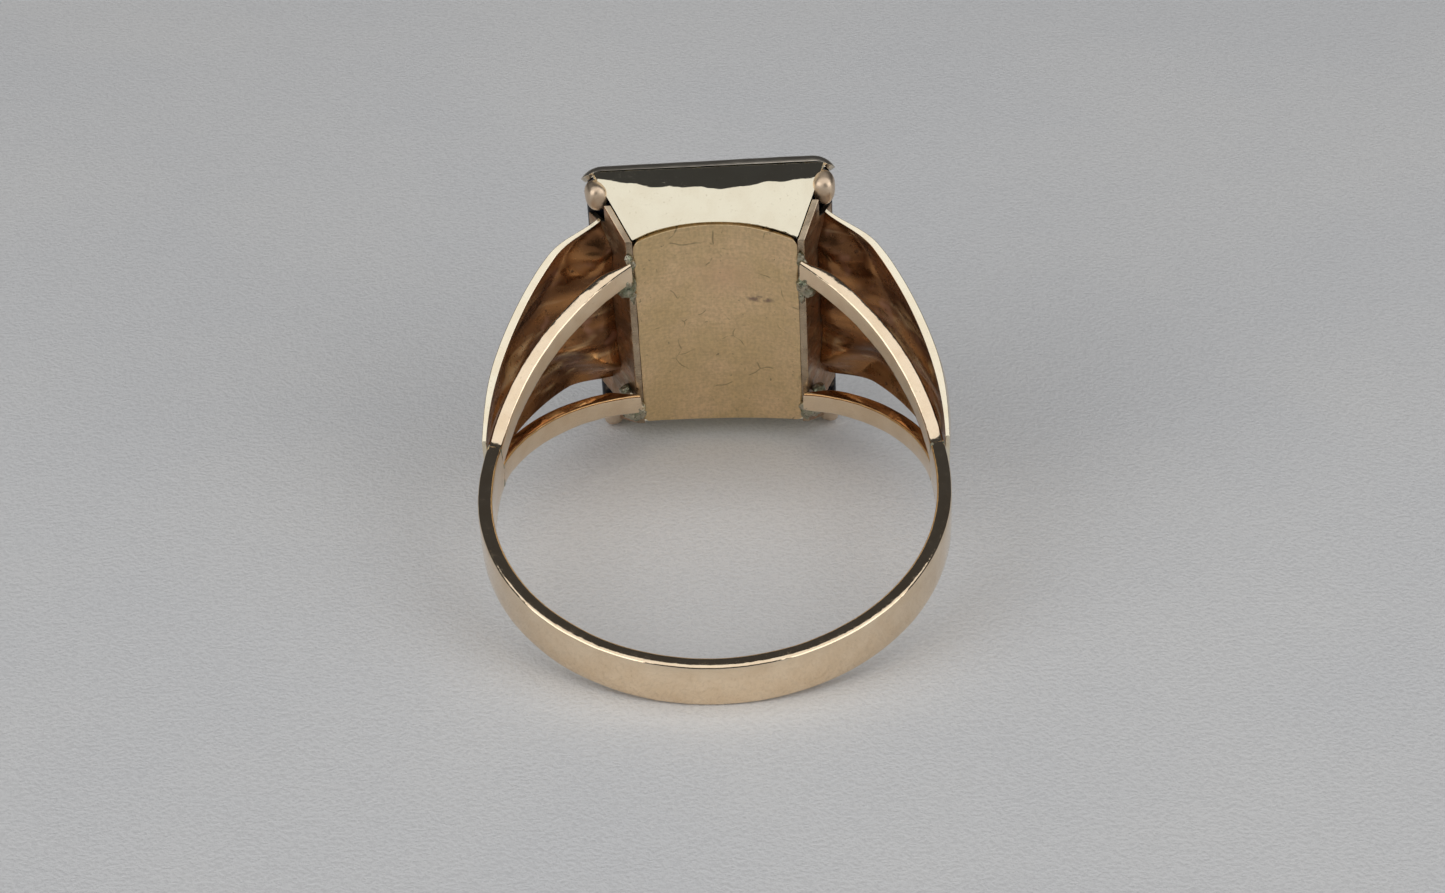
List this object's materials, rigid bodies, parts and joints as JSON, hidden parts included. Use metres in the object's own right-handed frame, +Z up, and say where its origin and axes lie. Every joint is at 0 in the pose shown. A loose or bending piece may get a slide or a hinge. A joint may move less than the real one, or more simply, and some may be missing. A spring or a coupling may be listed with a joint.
{
  "type": "signet ring",
  "caption": "Finger ring with a flat black rectangular stone in a closed-back box head, forked shoulders with hollow pressed wings and a narrow flat shank.",
  "frame": {"origin": "middle of the ring's bounding box, on the surface it lies on", "axes": "+Y from the back of the shank towards the head, +Z up from the table the ring lies on, X across the finger; the finger's axis leans about 16 degrees from +Z towards -Y because the ring rests on the lower edge of its head and the back of its shank"},
  "size_m": [0.0218, 0.0268, 0.0159],
  "materials": {
    "gold": "worn polished pale yellow gold",
    "polished_gold": "high polish pale yellow gold",
    "brushed_gold": "brushed and scratched yellow gold",
    "oxidised_gold": "unpolished brown oxidised gold",
    "solder": "grey-green unpolished gold solder",
    "onyx": "polished black"
  },
  "bodies": {
    "root": {"shank_band": "gold", "left_upper_gallery_rail": "gold", "left_lower_gallery_rail": "gold", "right_upper_gallery_rail": "gold", "right_lower_gallery_rail": "gold", "left_shoulder_wing": "gold", "right_shoulder_wing": "gold", "back_plate": "brushed_gold", "upper_end_bezel": "polished_gold", "lower_end_bezel": "polished_gold", "left_side_wall": "oxidised_gold", "right_side_wall": "oxidised_gold", "left_upper_corner_claw": "gold", "left_lower_corner_claw": "gold", "right_upper_corner_claw": "gold", "right_lower_corner_claw": "gold", "upper_stone_bearer": "oxidised_gold", "lower_stone_bearer": "oxidised_gold", "signet_stone": "onyx", "left_upper_rail_solder": "solder", "left_lower_rail_solder": "solder", "right_upper_rail_solder": "solder", "right_lower_rail_solder": "solder", "left_seam_solder": "solder", "right_seam_solder": "solder"}
  },
  "joints": []
}
